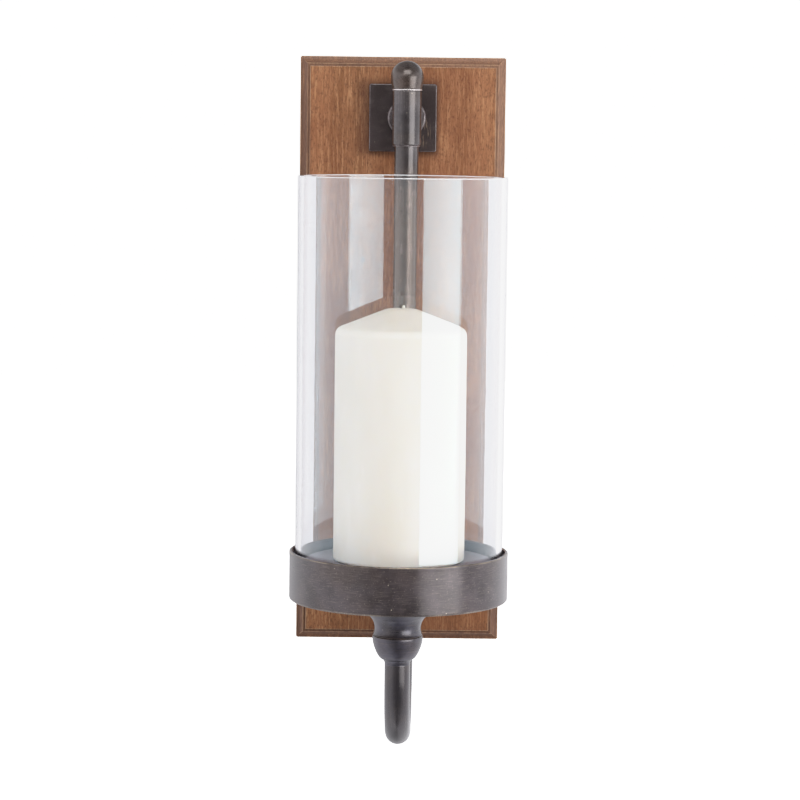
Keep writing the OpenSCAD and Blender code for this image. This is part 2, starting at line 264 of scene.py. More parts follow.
class Shader:
    """A small writer of node trees."""

    def __init__(self, name):
        self.material = bpy.data.materials.new(name)
        self.material.use_nodes = True
        self.tree = self.material.node_tree
        self.tree.nodes.clear()
        self.out = self.node("ShaderNodeOutputMaterial")

    @classmethod
    def for_tree(cls, tree):
        """A writer for the world's nodes, which have no material of their own."""
        writer = cls.__new__(cls)
        writer.tree = tree
        tree.nodes.clear()
        return writer

    def node(self, kind, **settings):
        n = self.tree.nodes.new(kind)
        for key, value in settings.items():
            setattr(n, key, value)
        return n

    def feed(self, socket, value):
        if isinstance(value, bpy.types.NodeSocket):
            self.tree.links.new(value, socket)
        else:
            socket.default_value = value

    def attribute(self, name, output="Vector"):
        return self.node("ShaderNodeAttribute", attribute_name=name).outputs[output]

    def position(self):
        return self.node("ShaderNodeTexCoord").outputs["Object"]

    def scaled(self, vector, scale, shift=(0, 0, 0)):
        n = self.node("ShaderNodeMapping")
        self.feed(n.inputs["Vector"], vector)
        n.inputs["Scale"].default_value = scale
        n.inputs["Location"].default_value = shift
        return n.outputs[0]

    def noise(self, vector, detail=4.0, rough=0.55, warp=0.0):
        n = self.node("ShaderNodeTexNoise")
        self.feed(n.inputs["Vector"], vector)
        n.inputs["Scale"].default_value = 1.0
        n.inputs["Detail"].default_value = detail
        n.inputs["Roughness"].default_value = rough
        n.inputs["Distortion"].default_value = warp
        return n.outputs["Fac"]

    def cells(self, vector):
        n = self.node("ShaderNodeTexVoronoi")
        self.feed(n.inputs["Vector"], vector)
        n.inputs["Scale"].default_value = 1.0
        return n.outputs["Distance"]

    def calc(self, operation, a, b=0.0):
        n = self.node("ShaderNodeMath", operation=operation)
        self.feed(n.inputs[0], a)
        self.feed(n.inputs[1], b)
        return n.outputs[0]

    def times(self, a, b):
        return self.calc("MULTIPLY", a, b)

    def plus(self, a, b):
        return self.calc("ADD", a, b)

    def span(self, value, low, high, to_low=0.0, to_high=1.0):
        n = self.node("ShaderNodeMapRange", interpolation_type="SMOOTHSTEP")
        self.feed(n.inputs["Value"], value)
        n.inputs["From Min"].default_value = low
        n.inputs["From Max"].default_value = high
        n.inputs["To Min"].default_value = to_low
        n.inputs["To Max"].default_value = to_high
        return n.outputs[0]

    def mix(self, factor, a, b):
        n = self.node("ShaderNodeMix", data_type="RGBA")
        self.feed(n.inputs[0], factor)
        self.feed(n.inputs[6], a)
        self.feed(n.inputs[7], b)
        return n.outputs[2]

    def blend(self, share, first, second):
        n = self.node("ShaderNodeMixShader")
        for socket, value in zip(n.inputs, (share, first, second)):
            self.feed(socket, value)
        return n.outputs[0]

    def parts(self, vector):
        n = self.node("ShaderNodeSeparateXYZ")
        self.feed(n.inputs[0], vector)
        return n.outputs

    def bump(self, height, strength, distance, below=None):
        n = self.node("ShaderNodeBump")
        n.inputs["Strength"].default_value = strength
        n.inputs["Distance"].default_value = distance
        self.feed(n.inputs["Height"], height)
        if below is not None:
            self.feed(n.inputs["Normal"], below)
        return n.outputs[0]

    def surface(self, **sockets):
        n = self.node("ShaderNodeBsdfPrincipled")
        for key, value in sockets.items():
            self.feed(n.inputs[key.replace("_", " ")], value)
        self.feed(self.out.inputs["Surface"], n.outputs[0])
        return n


def dress(ob, material):
    ob.data.materials.clear()
    ob.data.materials.append(material)


def wood_material(half_w, half_h):
    """Stained wood with short upright flecks. The moulded border is darker and greyer, with painted
    light and shade on it, and a painted shadow lies beside the bracket plate.
    """
    s = Shader("stained_wood")
    at = s.position()
    fibre = s.noise(s.scaled(at, (1500, 1500, 220)), detail=4, rough=0.7)
    fleck = s.noise(s.scaled(at, (1300, 1300, 520), (3, 1, 7)), detail=2, rough=0.5, warp=0.1)
    pale = s.noise(s.scaled(at, (900, 900, 60), (6, 2, 4)), detail=3, rough=0.6)
    streak = s.noise(s.scaled(at, (90, 90, 6), (11, 0, 2)), detail=4, rough=0.55, warp=0.35)
    blotch = s.noise(s.scaled(at, (24, 24, 14), (5, 3, 1)), detail=3, rough=0.5)
    knots = s.cells(s.scaled(at, (30, 30, 24), (0.4, 0, 0.2)))

    base = s.mix(s.span(streak, 0.34, 0.66), srgb(128, 84, 53), srgb(152, 104, 71))
    base = s.mix(s.span(pale, 0.46, 0.66, 0, 0.75), base, srgb(178, 130, 92))
    base = s.mix(s.span(fibre, 0.44, 0.64, 0, 0.62), base, srgb(94, 58, 37))
    base = s.mix(s.span(fleck, 0.56, 0.68, 0, 0.46), base, srgb(66, 41, 29))
    base = s.mix(s.span(blotch, 0.42, 0.70, 0, 0.40), base, srgb(108, 60, 36))
    base = s.mix(s.span(knots, 0.03, 0.055, 0.75, 0), base, srgb(42, 28, 22))

    x, y, z = s.parts(at)
    from_side = s.calc("SUBTRACT", half_w, s.calc("ABSOLUTE", x))
    from_end = s.calc("SUBTRACT", half_h, s.calc("ABSOLUTE", z))
    inset = s.calc("MINIMUM", from_side, from_end)
    border = s.times(s.span(inset, 5.8 * MM, 6.4 * MM, 1, 0),
                     s.span(y, -0.8 * MM, -0.2 * MM, 1, 0))
    ragged = s.times(border, s.span(pale, 0.2, 0.7, 0.85, 0.60))
    # Painted light: the moulded border turns lighter towards the right and the top
    painted_light = s.span(s.plus(s.times(x, 2.0), z), -0.05, 0.17)
    base = s.mix(ragged, base, s.mix(painted_light, srgb(88, 65, 54), srgb(132, 103, 86)))
    # Painted shade: a dark band along the ledge between the cove and the field's step
    quirk_shade = s.times(border, s.span(inset, 4.3 * MM, 4.8 * MM))
    quirk_shade = s.times(quirk_shade, s.span(blotch, 0.3, 0.65, 0.35, 0.05))
    base = s.mix(quirk_shade, base, srgb(54, 40, 33))
    soiled = s.span(inset, 6.4 * MM, 7.8 * MM, 0.30, 0)
    base = s.mix(s.times(soiled, s.span(fibre, 0.4, 0.6)), base, srgb(74, 50, 38))
    # Painted shadow to the left of the bracket plate, which also shows on the board's back
    low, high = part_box("bracket_plate")
    painted_shadow = s.times(s.span(x, low.x - 13 * MM, low.x + 1 * MM),
                    s.span(x, high.x, high.x + 3 * MM, 1, 0))
    painted_shadow = s.times(painted_shadow, s.span(z, low.z - 6 * MM, low.z + 2 * MM))
    painted_shadow = s.times(painted_shadow, s.span(z, high.z - 2 * MM, high.z + 6 * MM, 1, 0))
    base = s.mix(s.times(painted_shadow, 0.62), base, srgb(58, 34, 25))
    rubbed = s.times(s.attribute("wear", "Fac"), s.span(pale, 0.36, 0.60, 0.2, 0.9))
    base = s.mix(rubbed, base, srgb(172, 138, 108))

    rough = s.span(fleck, 0.3, 0.75, 0.42, 0.60)
    grooves = s.plus(s.times(fibre, -0.6), s.times(fleck, -0.8))
    s.surface(Base_Color=base, Roughness=rough, Normal=s.bump(grooves, 0.45, 0.14 * MM),
              Specular_IOR_Level=0.25)
    return s.material


def scratches(s, x, z, half_w, half_h):
    """A patch of upright scratches round a point on a face that looks forward."""
    at = s.position()
    along, _, up = s.parts(at)
    off_x = s.calc("DIVIDE", s.calc("SUBTRACT", along, x), half_w)
    off_z = s.calc("DIVIDE", s.calc("SUBTRACT", up, z), half_h)
    away = s.plus(s.times(off_x, off_x), s.times(off_z, off_z))
    marks = s.noise(s.scaled(at, (1100, 1100, 130), (1, 4, 2)), detail=3, rough=0.6, warp=0.4)
    return s.times(s.span(away, 0.1, 1.0, 0.8, 0), s.span(marks, 0.52, 0.62))


def bronze_material(name, dark, light, brush, roughness, worn=0.75, brushed=0.0, warmth=0.55,
                    scuffs=0.5, bare_and_glint=PALE_GLINT_EDGE, brown=(76, 60, 50), scratched=None, tinted=(),
                    mottle=0.16, lining=None):
    """Dark waxed patina. brush stretches the fine scratches: (across, across, along).

    tinted holds bands of height as (low, high, strength, tone), and lining is the tone inside a
    radius from the upright line at centre_y.
    """
    s = Shader(name)
    flow = s.attribute("flow")
    lines = s.noise(s.scaled(flow, brush), detail=4, rough=0.6)
    cloud = s.noise(s.scaled(flow, (60, 60, 60), (2, 5, 1)), detail=4, rough=0.6)
    grit = s.noise(s.scaled(flow, (1300, 1300, 1300), (4, 1, 2)), detail=3, rough=0.6)
    nicks = s.cells(s.scaled(flow, (150, 150, 150), (1, 3, 3)))
    warm = s.noise(s.scaled(flow, (26, 26, 34), (7, 2, 9)), detail=3)

    base = s.mix(s.span(cloud, 0.35, 0.68), srgb(*dark), srgb(*light))
    for low, high, strength, tone in tinted:
        height = s.parts(s.position())[2]
        inside = s.times(s.span(height, low, low + 30 * MM),
                         s.span(height, high - 30 * MM, high, 1, 0))
        base = s.mix(s.times(inside, strength), base, srgb(*tone))
    base = s.mix(s.span(warm, 0.45, 0.72, 0, warmth), base, srgb(*brown))
    base = s.mix(s.span(lines, 0.50, 0.82, 0, scuffs), base, srgb(112, 102, 96))
    base = s.mix(s.span(grit, 0.58, 0.76, 0, 0.8 * scuffs), base, srgb(132, 122, 112))
    base = s.mix(s.span(nicks, 0.025, 0.055, 1.3 * scuffs, 0), base, srgb(188, 176, 158))
    # Wear on tight edges, in a colour that also paints a highlight along them
    edge = s.times(s.attribute("wear", "Fac"), s.span(grit, 0.30, 0.62, 0.15, 1))
    edge = s.times(edge, s.span(cloud, 0.38, 0.62, 0.2, 1))
    base = s.mix(s.times(edge, worn), base, srgb(*bare_and_glint))
    if lining:
        centre_y, radius, strength, tone = lining
        x, y, _ = s.parts(s.position())
        y = s.calc("SUBTRACT", y, centre_y)
        away = s.calc("SQRT", s.plus(s.times(x, x), s.times(y, y)))
        base = s.mix(s.span(away, radius - 0.3 * MM, radius, strength, 0), base, srgb(*tone))
    if scratched:
        base = s.mix(scratches(s, *scratched), base, srgb(148, 126, 106))

    rough = s.plus(s.span(cloud, 0.3, 0.7, roughness - 0.04, roughness + 0.06),
                   s.span(lines, 0.3, 0.8, -0.04, 0.05))
    height = s.plus(s.times(lines, 0.7), s.times(grit, 0.3))
    normal = s.bump(height, 0.20, 0.05 * MM)
    normal = s.bump(cloud, mottle, 0.3 * MM, normal)
    bsdf = s.surface(Base_Color=base, Roughness=rough, Normal=normal,
                     Metallic=s.plus(s.times(edge, 0.5), 0.45))
    bsdf.inputs["Coat Weight"].default_value = 0.3
    bsdf.inputs["Coat Roughness"].default_value = 0.22
    if brushed:
        around = s.node("ShaderNodeTangent", direction_type="RADIAL", axis="Z")
        s.feed(bsdf.inputs["Tangent"], around.outputs[0])
        bsdf.inputs["Anisotropic"].default_value = brushed
        bsdf.inputs["Anisotropic Rotation"].default_value = 0.25
    return s.material


def steel_material(name, tone, roughness):
    """Dull plated steel for screws, washers and hangers."""
    s = Shader(name)
    at = s.position()
    spangle = s.noise(s.scaled(at, (420, 420, 420)), detail=3)
    haze = s.noise(s.scaled(at, (70, 70, 70), (2, 2, 2)), detail=3)
    low, high = (srgb(*[c * k for c in tone]) for k in (0.82, 1.0))
    base = s.mix(s.span(spangle, 0.35, 0.65), low, high)
    base = s.mix(s.span(haze, 0.5, 0.75, 0, 0.4), base, srgb(150, 140, 118))
    rough = s.span(haze, 0.3, 0.7, roughness - 0.06, roughness + 0.12)
    s.surface(Base_Color=base, Roughness=rough, Normal=s.bump(spangle, 0.2, 0.05 * MM),
              Metallic=1.0)
    return s.material


def glass_material(top):
    """Clear glass with a ground top rim. Shadow rays and rays of dull surfaces pass through."""
    s = Shader("clear_glass")
    at = s.position()
    smear = s.noise(s.scaled(at, (60, 60, 14)), detail=4, rough=0.6)
    specks = s.cells(s.scaled(at, (140, 140, 140), (1, 2, 3)))
    scattered = s.noise(s.scaled(at, (28, 28, 28), (4, 4, 4)), detail=2)
    dust = s.times(s.span(specks, 0.035, 0.08, 1, 0), s.span(scattered, 0.48, 0.60))
    clear = s.node("ShaderNodeBsdfPrincipled")
    s.feed(clear.inputs["Base Color"], (0.98, 0.985, 1.0, 1))
    s.feed(clear.inputs["Roughness"], s.span(smear, 0.55, 0.8, 0.0, 0.03))
    s.feed(clear.inputs["IOR"], 1.5)
    film = s.span(smear, 0.35, 0.75, 0.998, 0.982)
    ground = s.span(s.parts(at)[2], top - 0.6 * MM, top - 0.3 * MM, 0, 0.6)
    clarity = s.calc("SUBTRACT", film, s.times(dust, 0.3))
    clarity = s.calc("SUBTRACT", clarity, ground)
    s.feed(clear.inputs["Transmission Weight"], clarity)
    s.feed(clear.inputs["Normal"], s.bump(smear, 0.06, 0.2 * MM))
    clear.inputs["Specular Tint"].default_value = (0.71, 0.93, 1.0, 1)
    through = s.node("ShaderNodeBsdfTransparent")
    through.inputs["Color"].default_value = (0.95, 0.955, 0.965, 1)
    path = s.node("ShaderNodeLightPath")
    direct = s.calc("MAXIMUM", path.outputs["Is Shadow Ray"], path.outputs["Is Diffuse Ray"])
    s.feed(s.out.inputs["Surface"], s.blend(direct, clear.outputs[0], through.outputs[0]))
    return s.material


def wax_material():
    """Ivory wax, a little translucent, with faint cloudiness and pinholes."""
    s = Shader("candle_wax")
    at = s.position()
    cloud = s.noise(s.scaled(at, (26, 26, 9)), detail=3, rough=0.5)
    fine = s.noise(s.scaled(at, (160, 160, 60), (3, 1, 2)), detail=4, rough=0.55)
    pits = s.cells(s.scaled(at, (95, 95, 95), (2, 7, 5)))
    base = s.mix(s.span(cloud, 0.35, 0.65), srgb(230, 225, 213), srgb(224, 218, 203))
    base = s.mix(s.span(fine, 0.55, 0.75, 0, 0.25), base, srgb(246, 240, 232))
    base = s.mix(s.span(pits, 0.02, 0.045, 0.35, 0), base, srgb(205, 192, 170))
    rough = s.span(cloud, 0.3, 0.7, 0.42, 0.52)
    bsdf = s.surface(Base_Color=base, Roughness=rough, Normal=s.bump(fine, 0.12, 0.25 * MM))
    bsdf.inputs["Subsurface Weight"].default_value = 0.35
    bsdf.inputs["Subsurface Radius"].default_value = (1.0, 0.75, 0.5)
    bsdf.inputs["Subsurface Scale"].default_value = 4 * MM
    bsdf.inputs["Specular IOR Level"].default_value = 0.35
    return s.material


def wick_material():
    """Dark cotton with pale wax caught in its braid."""
    s = Shader("wick_cotton")
    at = s.position()
    braid = s.noise(s.scaled(at, (1400, 1400, 500)), detail=3)
    wax = s.noise(s.scaled(at, (420, 420, 300), (1, 2, 3)), detail=2)
    base = s.mix(s.span(braid, 0.35, 0.65), srgb(40, 36, 32), srgb(96, 86, 74))
    base = s.mix(s.span(wax, 0.50, 0.58), base, srgb(232, 222, 200))
    s.surface(Base_Color=base, Roughness=0.85, Normal=s.bump(braid, 0.8, 0.3 * MM))
    return s.material


# ---------------------------------------------------------------- backboard

def rounded_loop(half_w, half_h, radius, steps=4):
    """Corners of an upright oblong, each as a small arc, anticlockwise from the lower right."""
    points = []
    for sx, sz, start in ((1, -1, -90), (1, 1, 0), (-1, 1, 90), (-1, -1, 180)):
        for k in range(steps + 1):
            a = math.radians(start + 90 * k / steps)
            points.append((sx * (half_w - radius) + radius * math.cos(a),
                           sz * (half_h - radius) + radius * math.sin(a)))
    return points


def keyhole_loop(centre_z, entry_r, slot_r, steps=20):
    """A round entry below and a slot that rises from it."""
    rise = 9 * MM
    low = centre_z - 5 * MM
    gap = math.asin(min(1.0, slot_r / entry_r))
    points = []
    for k in range(steps + 1):
        a = math.pi / 2 + gap + (2 * math.pi - 2 * gap) * k / steps
        points.append((entry_r * math.cos(a), low + entry_r * math.sin(a)))
    for k in range(steps // 2 + 1):
        a = math.pi * k / (steps // 2)
        points.append((slot_r * math.cos(a), low + rise + slot_r * math.sin(a)))
    return points


def circle_loop(z, radius, steps=28):
    """A circle whose middle is at x = 0."""
    turns = [2 * math.pi * k / steps for k in range(steps)]
    return [(radius * math.cos(a), z + radius * math.sin(a)) for a in turns]


def add_loop(bm, points, y):
    verts = [bm.verts.new((x, y, z)) for x, z in points]
    for i, v in enumerate(verts):
        bm.edges.new((v, verts[(i + 1) % len(verts)]))
    return verts


def bridge(bm, first, second):
    count = len(first)
    for i in range(count):
        n = (i + 1) % count
        bm.faces.new((first[i], first[n], second[n], second[i]))


def fill(bm, *loops):
    """Flat faces between an outer loop and the loops inside it."""
    edges = []
    for loop in loops:
        for i, v in enumerate(loop):
            edges.append(bm.edges.get((v, loop[(i + 1) % len(loop)])))
    bmesh.ops.triangle_fill(bm, use_beauty=True, use_dissolve=False, edges=edges)


def sink(bm, points, depth_from, depth_to):
    """The wall of a pocket. Returns its mouth and its foot."""
    mouth = add_loop(bm, points, depth_from)
    foot = add_loop(bm, points, depth_to)
    bridge(bm, mouth, foot)
    return mouth, foot


def collar(bm, inner, points, y):
    """A narrow flat ring round a pocket, so that the wear of its rim stays beside it."""
    outer = add_loop(bm, points, y)
    bridge(bm, outer, inner)
    return outer


def make_backboard():
    """The board with its routed border, the hangers' pockets and the bolts' counterbores.

    The section runs from the back round the edge to the raised field, as (inset, y).
    """
    low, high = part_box("backboard")
    half_w, half_h, front = high.x, high.z, low.y
    ledge = front + 1.1 * MM
    drop = front + 5.4 * MM
    cove = 4.3 * MM
    field = 6 * MM
    lip = 0.12 * MM
    section = [(1.0 * MM, 0.0), (0.3 * MM, 0.0), (0.09 * MM, -0.09 * MM), (0.0, -0.3 * MM),
               (0.0, drop + 2 * lip), (0.0, drop + lip)]
    section += arc((0.3 * MM, drop - 0.08 * MM), (cove - lip, ledge + 0.6 * MM), -1.0 * MM, 12)
    section += corner((cove - 0.06 * MM, ledge + 0.25 * MM), (cove, ledge),
                      (cove + 0.35 * MM, ledge), 4)
    section += [(field - 0.3 * MM, ledge)]
    section += corner((field - 0.1 * MM, ledge), (field, ledge), (field, ledge - 0.12 * MM), 3)
    section += corner((field, front + 0.4 * MM), (field, front), (field + 0.5 * MM, front), 4)
    section += [(field + 1.2 * MM, front)]

    bm = bmesh.new()
    rings = []
    for inset, y in section:
        radius = max(0.25 * MM, 1.2 * MM - inset)
        rings.append(add_loop(bm, rounded_loop(half_w - inset, half_h - inset, radius), y))
    for a, b in zip(rings, rings[1:]):
        bridge(bm, a, b)

    mouths, bores = [], []
    hanger_r, recess_r, recess_y = 4.8 * MM, 6 * MM, -9 * MM
    for node in ("keyhole_hanger_upper", "keyhole_hanger_lower"):
        a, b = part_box(node)
        mid = (a.z + b.z) / 2
        loops = []
        for gap in (0.2 * MM, 0.9 * MM):
            loop = rounded_loop(b.x + gap, (b.z - a.z) / 2 + gap, hanger_r + gap)
            loops.append([(x, mid + z) for x, z in loop])
        mouth, foot = sink(bm, loops[0], 0.0, a.y)
        mouth = collar(bm, mouth, loops[1], 0.0)
        head = keyhole_loop(mid, recess_r + 0.001 * MM, recess_r)
        upper, lower = sink(bm, head, a.y, recess_y)
        fill(bm, foot, upper)
        fill(bm, lower)
        mouths.append(mouth)
    a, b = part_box("bracket_washers")
    washer_r, counterbore_r, hole_r = 5 * MM, 5.6 * MM, 2.75 * MM
    middle = (a.z + b.z) / 2
    spread = (b.z - a.z) / 2 - washer_r
    for z in (middle - spread, middle + spread):
        mouth, foot = sink(bm, circle_loop(z, counterbore_r), 0.0, a.y)
        upper, lower = sink(bm, circle_loop(z, hole_r), a.y, front)
        fill(bm, foot, upper)
        mouths.append(collar(bm, mouth, circle_loop(z, counterbore_r + 0.5 * MM), 0.0))
        bores.append(collar(bm, lower, circle_loop(z, hole_r + 0.55 * MM), front))
    fill(bm, rings[0], *mouths)
    fill(bm, rings[-1], *bores)
    return from_bmesh("board", bm, worn_from=300, worn_to=1400)


def make_wall_plate():
    """The bracket plate, with eased front edges and the bolts' two holes."""
    low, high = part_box("bracket_plate")
    half, front, back = high.x, low.y, high.y
    middle = (low.z + high.z) / 2
    ease = 0.7 * MM
    section = [(1 * MM, back), (0.25 * MM, back), (0.0, back - 0.25 * MM)]
    section += corner((0.0, front + ease), (0.0, front), (ease, front), 5)
    section += [(1.8 * MM, front), (5 * MM, front)]
    bm = bmesh.new()
    rings = []
    for inset, y in section:
        loop = rounded_loop(half - inset, half - inset, max(0.25 * MM, 1.3 * MM - inset))
        rings.append(add_loop(bm, [(x, middle + z) for x, z in loop], y))
    for a, b in zip(rings, rings[1:]):
        bridge(bm, a, b)
    a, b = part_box("bracket_bolts")
    head_r, hole_r, rim_r = 4.25 * MM, 2.55 * MM, 3 * MM
    spread = (b.z - a.z) / 2 - head_r
    mouths, feet = [], []
    for z in (middle - spread, middle + spread):
        mouth, foot = sink(bm, circle_loop(z, hole_r), back, front)
        mouths.append(collar(bm, mouth, circle_loop(z, rim_r), back))
        feet.append(collar(bm, foot, circle_loop(z, rim_r), front))
    fill(bm, rings[0], *mouths)
    fill(bm, rings[-1], *feet)
    return from_bmesh("wall_plate", bm)


# ---------------------------------------------------------------- turned and swept pieces

def from_mm(points):
    return [(r * MM, z * MM) for r, z in points]


def sizes(node):
    """Half the width, the foot and the top of a CAD node, in millimetres."""
    low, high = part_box(node)
    return (high.x - low.x) / 2 / MM, low.z / MM, high.z / MM


def make_sleeve():
    r, a, b = sizes("pivot_sleeve")
    bore = 5.05
    outline = [(bore, a), *corner((r - 0.6, a), (r, a), (r, a + 0.7)),
               *corner((r, b - 0.6), (r, b), (r - 0.5, b)), (bore, b)]
    return lathe("sleeve", filled(from_mm(outline), 3 * MM), ON_SWIVEL, 96)


def make_washer(node, name, bore):
    r, a, b = sizes(node)
    ease = 0.28
    outline = [(bore, a), *corner((r - ease, a), (r, a), (r, a + ease), 3),
               *corner((r, b - ease), (r, b), (r - ease, b), 3), (bore, b)]
    return lathe(name, from_mm(outline), ON_SWIVEL, 96)


def make_finial():
    """A dome on a short neck that widens a little towards it, with the stud's blind bore."""
    r, a, top = sizes("finial_knob")
    equator = top - r
    foot = 8.9
    bore_top = a + 10
    outline = [(STUD_BORE, a), *corner((foot - 0.5, a), (foot, a), (foot + 0.04, a + 0.5)),
               *arc((foot + 0.1, a + 0.9), (r, equator), 0.06, 8)]
    for k in range(1, 24):
        t = math.radians(90 * k / 24)
        outline.append((r * math.cos(t), equator + r * math.sin(t)))
    outline += [(0, top), (0, bore_top), (STUD_BORE, bore_top)]
    return lathe("finial", from_mm(outline), ON_SWIVEL, 96)


def make_arm():
    """The hooked tube: a straight drop, a half turn and a short rise into the bowl.

    Bending has left it a little broader across the hook.
    """
    low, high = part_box("arm_tube")
    radius = (high.x - low.x - SWIVEL_X) / 2
    wall = 1.6 * MM
    swelling = 0.024
    along = ON_CUP - ON_SWIVEL
    across = Vector((-along.y, along.x, 0)).normalized()
    bend_r = along.length / 2
    middle = ON_SWIVEL + along / 2
    bend_z = low.z + bend_r + radius
    rise_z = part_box("stem_bowl")[1].z - 7 * MM
    drop_steps, bend_steps, rise_steps = 40, 56, 8
    path, outer = [], []

    def add(point, z, broad):
        path.append(Vector((point.x, point.y, z)))
        outer.append((radius * (1 + swelling * broad), radius))

    for k in range(drop_steps):
        t = k / drop_steps
        add(ON_SWIVEL, high.z + (bend_z - high.z) * t, max(0.0, t - 0.8) * 5)
    for k in range(bend_steps + 1):
        t = math.pi * k / bend_steps
        add(middle - along / 2 * math.cos(t), bend_z - bend_r * math.sin(t), 1)
    for k in range(1, rise_steps + 1):
        in_bowl = k > rise_steps - 2
        add(ON_CUP, bend_z + (rise_z - bend_z) * k / rise_steps, 0 if in_bowl else 1)
    return sweep("arm", path, across, outer, radius - wall)


def make_bowl():
    """A rounded bowl over a soft neck, with two fine turned rings. Heights are from its top."""
    r, _, top = sizes("stem_bowl")
    tube_r, tube_end, foot = 7.35, -7, -17.6
    outline = [(STUD_BORE, 0), (STUD_BORE, tube_end), (tube_r, tube_end), (tube_r, foot)]
    outline += arc((tube_r + 0.13, foot), (8.6, -14.5), -0.42, 12)
    outline += corner((9.05, -14.3), (10.6, -13.5), (11.65, -11.55), 8)
    for x, z in arc((11.75, -11.4), (r, -1.7), 0.55, 28):
        for height, depth, width in ((-3.6, 0.09, 0.22), (-8.6, 0.06, 0.3)):
            x -= depth * math.exp(-((z - height) / width) ** 2)
        outline.append((x, z))
    outline += corner((r, -1.3), (r, -0.15), (r - 0.75, 0), 6)
    return lathe("bowl", from_mm((x, top + z) for x, z in outline), ON_CUP, 112)


def make_cove():
    """A long flare below the waist and a tighter one above it, up to a thick rim."""
    flange, a, b = sizes("stem_cove")
    foot_h = 4.4
    waist_r, waist_z = 13.5, a + foot_h
    lower_r, upper_r = 9.35, 8.9
    outline = [(STUD_BORE, a)]
    outline += corner((waist_r + 0.45, a), (waist_r + 1.05, a), (waist_r + 0.98, a + 0.35), 4)
    for k in range(1, 10):
        t = math.asin(foot_h / lower_r) * (k / 10 - 1)
        outline.append((waist_r + lower_r - lower_r * math.cos(t), waist_z + lower_r * math.sin(t)))
    for k in range(0, 17):
        t = math.radians(45 * k / 16)
        outline.append((waist_r + upper_r - upper_r * math.cos(t), waist_z + upper_r * math.sin(t)))
    x, z = outline[-1]
    rim_z = z + flange - x
    slant = flange - 1.2 - x
    outline += [(x + slant * k / 4, z + slant * k / 4) for k in range(1, 4)]
    outline += corner((flange - 0.7, rim_z - 0.7), (flange, rim_z), (flange, rim_z + 0.8), 5)
    outline += [(flange, b), (STUD_BORE, b)]
    return lathe("cove", from_mm(outline), ON_CUP, 112)


def make_pan():
    """The drum of the dish, with a lip that is thicker than its wall."""
    edge, a, b = sizes("dish_pan")
    wall, sheet, bore, lip = edge - 0.1, 1.5, 2.75, 2.1
    inner, floor = wall - sheet, a + sheet
    outline = [(bore, a), (22, a), (40, a), (52, a), (wall - 2.2, a)]
    outline += arc((wall - 1.1, a), (wall, a + 1.1), 0.322, 8)
    outline += [(wall, a + 2 + (b - a - 5) * k / 9) for k in range(0, 10)]
    outline += [(edge, b - 1.7), (edge, b - 1.2)]
    outline += arc((edge, b - 0.7), (edge - 0.7, b), 0.205, 6)
    outline += [(edge - 1.1, b), (edge - 1.3, b)]
    outline += arc((edge - lip + 0.6, b), (edge - lip, b - 0.6), 0.176, 5)
    outline += [(edge - lip, b - 1.4), (inner, b - 2.4), (inner, floor + 6)]
    outline += arc((inner, floor + 1), (inner - 1, floor), -0.29, 4)
    outline += [(52, floor), (22, floor), (bore, floor)]
    return lathe("pan", from_mm(outline), ON_CUP, 192)


def make_plate():
    """The candle plate, a shallow cup turned upside down."""
    r, foot, top = sizes("candle_plate")
    inner, under = r - 1.5, top - 1.5
    outline = [(2.6, under), (30, under), (inner - 0.8, under), (inner, under - 0.8),
               (inner, foot), (r, foot), (r, foot + 10)]
    outline += arc((r, top - 2.2), (r - 2.2, top), 0.644, 8)
    outline += [(r - 6, top), (40, top), (25, top), (12, top), (4.1, top)]
    return lathe("plate", from_mm(outline), ON_CUP, 160)


def make_glass():
    """An open cylinder with ground, slightly softened rims."""
    r, a, b = sizes("glass_hurricane")
    wall, edge, flat = 3, 0.5, 1.2
    inner = r - wall
    outline = corner((r - edge, b), (r, b), (r, b - edge), 5)[::-1]
    outline += [(r - flat, b), (inner + flat, b)]
    outline += corner((inner + edge, b), (inner, b), (inner, b - edge), 5)
    outline += [(inner, b + (a - b) * k / 12) for k in range(1, 12)]
    outline += corner((inner, a + edge), (inner, a), (inner + edge, a), 5)
    outline += [(inner + flat, a), (r - flat, a)]
    outline += corner((r - edge, a), (r, a), (r, a + edge), 5)
    outline += [(r, a + (b - a) * k / 12) for k in range(1, 12)]
    return lathe("hurricane", from_mm(outline), ON_CUP, 256)


def make_candle():
    """A pillar with a rounded shoulder, a low cone and a blunt tip with the wick's hole.

    It is 0.12 mm slimmer than the CAD, which leaves room for its wobble, and it stops 0.05 mm
    above the plate.
    """
    r, a, top = sizes("candle")
    r -= 0.12
    a += 0.05
    foot_r = 1.6
    slope, round_r, tip_r = math.radians(21.4), 5.2, 8.8
    tip_z = top - 0.6
    edge_z = tip_z - (r - tip_r) * math.tan(slope)
    turn = math.pi / 2 - slope
    run = round_r * math.tan(turn / 2)
    outline = [(0, a), (20, a), (r - foot_r - 0.2, a)]
    outline += arc((r - foot_r, a), (r, a + foot_r), 0.469, 8)
    outline += [(r, a + 2 + (edge_z - run - a - 2) * k / 24) for k in range(1, 24)]
    outline += arc((r, edge_z - run), (r - run * math.cos(slope), edge_z + run * math.sin(slope)),
                   round_r * (1 - math.cos(turn / 2)), 10)
    x0, z0 = outline[-1]
    outline += [(x0 + (tip_r + 1.2 - x0) * k / 6, z0 + (tip_z - 0.47 - z0) * k / 6)
                for k in range(1, 7)]
    outline += corner((tip_r + 0.9, tip_z - 0.33), (tip_r - 0.4, tip_z + 0.12),
                      (tip_r - 2.4, tip_z + 0.3), 6)
    outline += [(4.0, top - 0.12), (2.0, top - 0.02), (1.3, top - 0.1), (1.3, top - 12),
                (0, top - 12)]

    def wobble(angle, z):
        return (0.07 * math.sin(2 * angle + 14 * z) + 0.05 * math.sin(3 * angle - 31 * z + 1)) * MM

    return lathe("pillar", from_mm(outline), ON_CUP, 160, wobble)


